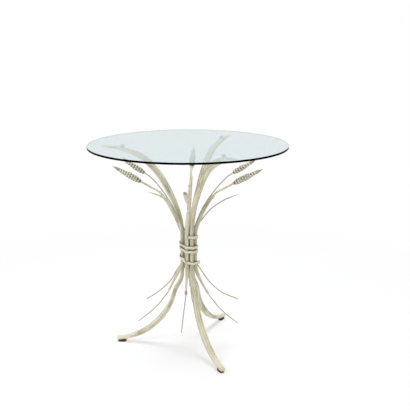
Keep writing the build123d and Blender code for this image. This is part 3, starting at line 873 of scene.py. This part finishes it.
# %% Build an ear
def build_ear(cad_node, stem_node, gauge, girth, whorls):
    """Set whorls of kernels on a spindle along the ear's axis, end it in a spike, and join all."""
    length, across = ear_axis(cad_node, stem_node, gauge)
    parts = []
    for whorl in range(whorls):
        height = length * (FIRST_WHORL + BODY_SHARE * whorl / whorls)
        radius = girth * outline(height / length)
        grown = (girth + radius) / (2 * EAR_GIRTH)
        for place in range(KERNELS_ROUND):
            angle = math.tau / KERNELS_ROUND * (place + 0.5 * (whorl % 2))
            copy = bpy.data.objects.new("kernel_copy", kernel.data.copy())
            copy.data.materials.append(ear_paint)
            bpy.context.scene.collection.objects.link(copy)
            copy.data.transform(
                across(height)
                @ Matrix.Rotation(angle, 4, "Z")
                @ Matrix.Translation((radius - KERNEL_SUNK * grown, 0, 0))
                @ Matrix.Rotation(math.radians(KERNEL_TILT), 4, "Y")
                @ Matrix.Scale(grown, 4)
            )
            parts.append(copy)
    # the rod that the kernels grow from, and the neck that holds the stem
    neck = gauge / 2 + NECK_WALL
    spindle = drawn_out(cad_node + "_spindle", 12, [
        (-0.0020, neck * 0.86), (-0.0012, neck), (0.0010, neck), (0.0030, neck * 0.90),
        (0.07 * length, girth * 0.42), (0.30 * length, girth * 0.66), (0.62 * length, girth * 0.5),
    ])
    # the spindle, seen only in the gaps between kernels, takes full glaze and painted shade, except at
    # its neck
    follow(spindle, across, lambda co: 0.15 if co.z < 0.002 else 1.0)
    spindle.data.materials.append(ear_paint)
    parts.append(spindle)
    # the spike of closed husks starts under the last kernels, and every other line is pulled in
    spike = drawn_out(cad_node + "_spike", SPIKE_SIDES, [
        (
            length * share,
            girth * outline(share) * (SPIKE_INSIDE + (1 - SPIKE_INSIDE) * ramp(share, 0.66, 0.86)),
        )
        for share in SPIKE_SHARES
    ])

    def furrow(vertex):
        return round(math.atan2(vertex.co.y, vertex.co.x) / math.tau * SPIKE_SIDES) % 2 == 1

    edit_where(spike, furrow, "VERT")
    bpy.ops.transform.resize(value=(FURROW_PULL, FURROW_PULL, 1), center_override=(0, 0, 0))
    close_edit()
    furrows = {tuple(v.co) for v in spike.data.vertices if furrow(v)}
    # the spike darkens towards its tip, and its furrows take glaze and painted shade
    follow(spike, across, lambda co: (
        0.04 + 0.56 * ramp(co.z / length, 0.80, 1.0) + (0.22 if tuple(co) in furrows else 0)
    ))
    spike.data.materials.append(tip_paint)
    parts.append(spike)
    clear_selection()
    for part in parts:
        part.select_set(True)
    bpy.context.view_layer.objects.active = parts[0]
    bpy.ops.object.join()
    head = named(cad_node + "_head")
    smooth(head, 60)
    hand_over(head, None, "cream_paint", "base", cad_node)


for stalk in STALKS:
    build_ear(stalk + "_ear", stalk + "_stem", STEM, EAR_GIRTH, EAR_WHORLS)
for stalk in ("inner_right", "inner_left"):
    build_ear(stalk + "_ear", stalk + "_stem", WIRE, INNER_GIRTH, INNER_WHORLS)
bpy.data.objects.remove(kernel)

# %% [markdown]
# ## Floor, light and camera
# The table stands on a plain white floor in soft light from all round, with one broad lamp on
# the left and a weaker one on the right. A smaller lamp overhead and a little behind draws the
# shadows of the legs. The camera, the glass and anything glossy see the surroundings as plain
# white. No reflection and no ray through glass shows a lamp, because its square outline would
# lie across the pane. A sheet of paper swept up behind would do too, but would show in side views.


# %% Floor
def seen_directly(tree):
    """1 on rays from the camera, a reflection or the glass, 0 on rays that carry light."""
    path = node(tree, "ShaderNodeLightPath")
    first = times(tree, path.outputs["Is Camera Ray"], path.outputs["Is Glossy Ray"], "MAXIMUM")
    return times(tree, first, path.outputs["Is Transmission Ray"], "MAXIMUM")


FLOOR_SIZE = 14
SHADE_FROM = 0.3
SHADE_TO = 1.5
WHITE_NEAR = 0.35

clear_selection()
bpy.ops.mesh.primitive_plane_add(size=FLOOR_SIZE, location=(0, 0, 0))
floor = named("floor")
settle(floor)
floor_paint, tree, shader = start_material("floor_white")
shader.inputs["Base Color"].default_value = (0.91, 0.91, 0.91, 1)
shader.inputs["Roughness"].default_value = 0.9
shader.inputs["Specular IOR Level"].default_value = 0.0
glow = node(tree, "ShaderNodeEmission")
glow.inputs["Strength"].default_value = 1.0
place = node(tree, "ShaderNodeTexCoord")
reach = node(tree, "ShaderNodeVectorMath", [(0, place.outputs["Object"])], operation="LENGTH")
# the floor's own shading shows best round the feet and gives way to plain white further out
far = window(tree, reach.outputs["Value"], SHADE_FROM, SHADE_TO, WHITE_NEAR, 1.0)
amount = times(tree, seen_directly(tree), far)
mix = node(tree, "ShaderNodeMixShader", [
    (0, amount), (1, shader.outputs["BSDF"]), (2, glow.outputs["Emission"]),
])
tree.links.new(mix.outputs["Shader"], tree.nodes["Material Output"].inputs["Surface"])
floor.data.materials.append(floor_paint)
print("floor laid")

# %% World
world = bpy.data.worlds.new("studio")
bpy.context.scene.world = world
world.use_nodes = True
tree = world.node_tree
soft = tree.nodes["Background"]
soft.inputs["Color"].default_value = (0.98, 0.99, 1.0, 1)
soft.inputs["Strength"].default_value = 0.60
white = node(tree, "ShaderNodeBackground")
white.inputs["Color"].default_value = (1, 1, 1, 1)
white.inputs["Strength"].default_value = 1.0
mix = node(tree, "ShaderNodeMixShader", [
    (0, seen_directly(tree)), (1, soft.outputs["Background"]), (2, white.outputs["Background"]),
])
tree.links.new(mix.outputs["Shader"], tree.nodes["World Output"].inputs["Surface"])
print("world set")


# %% Lamps
MIDDLE = Vector((0, 0, 0.35))


def broad_lamp(name, place, size, power):
    """A square lamp that faces the middle of the table."""
    clear_selection()
    bpy.ops.object.light_add(type="AREA", location=place)
    lamp = named(name)
    lamp.data.size = size
    lamp.data.energy = power
    lamp.visible_glossy = False
    lamp.visible_transmission = False
    aim = MIDDLE - Vector(place)
    lamp.rotation_euler = aim.to_track_quat("-Z", "Y").to_euler()


broad_lamp("lamp_left", (-1.6, -1.7, 2.3), 1.6, 26)
broad_lamp("lamp_right", (2.2, -1.2, 1.6), 1.8, 6)
broad_lamp("lamp_above", (0.1, 0.5, 2.6), 0.9, 30)

# %% Camera
CAMERA_BACK = 2.1403
CAMERA_HIGH = 1.0065
CAMERA_TURN = math.radians(5.0)
LOOK_DOWN = 0.2486
LOOK_ASIDE = 0.0240
FOCAL_PIXELS = 710.75
PICTURE_PIXELS = 410

turn = Matrix.Rotation(CAMERA_TURN, 3, "Z")
place = turn @ Vector((0, -CAMERA_BACK, CAMERA_HIGH))
sight = turn @ Vector((
    math.sin(LOOK_ASIDE) * math.cos(LOOK_DOWN),
    math.cos(LOOK_ASIDE) * math.cos(LOOK_DOWN),
    -math.sin(LOOK_DOWN),
))
clear_selection()
bpy.ops.object.camera_add(location=place)
camera = named("camera")
right = sight.cross(Vector((0, 0, 1))).normalized()
camera.rotation_euler = Matrix((right, right.cross(sight), -sight)).transposed().to_euler()
camera.data.sensor_width = 36
camera.data.sensor_fit = "HORIZONTAL"
camera.data.lens = FOCAL_PIXELS / PICTURE_PIXELS * camera.data.sensor_width
bpy.context.scene.camera = camera
bpy.context.scene.view_settings.view_transform = "Standard"
print("camera stands", round(place.length, 3), "m away, lens", round(camera.data.lens, 2), "mm")
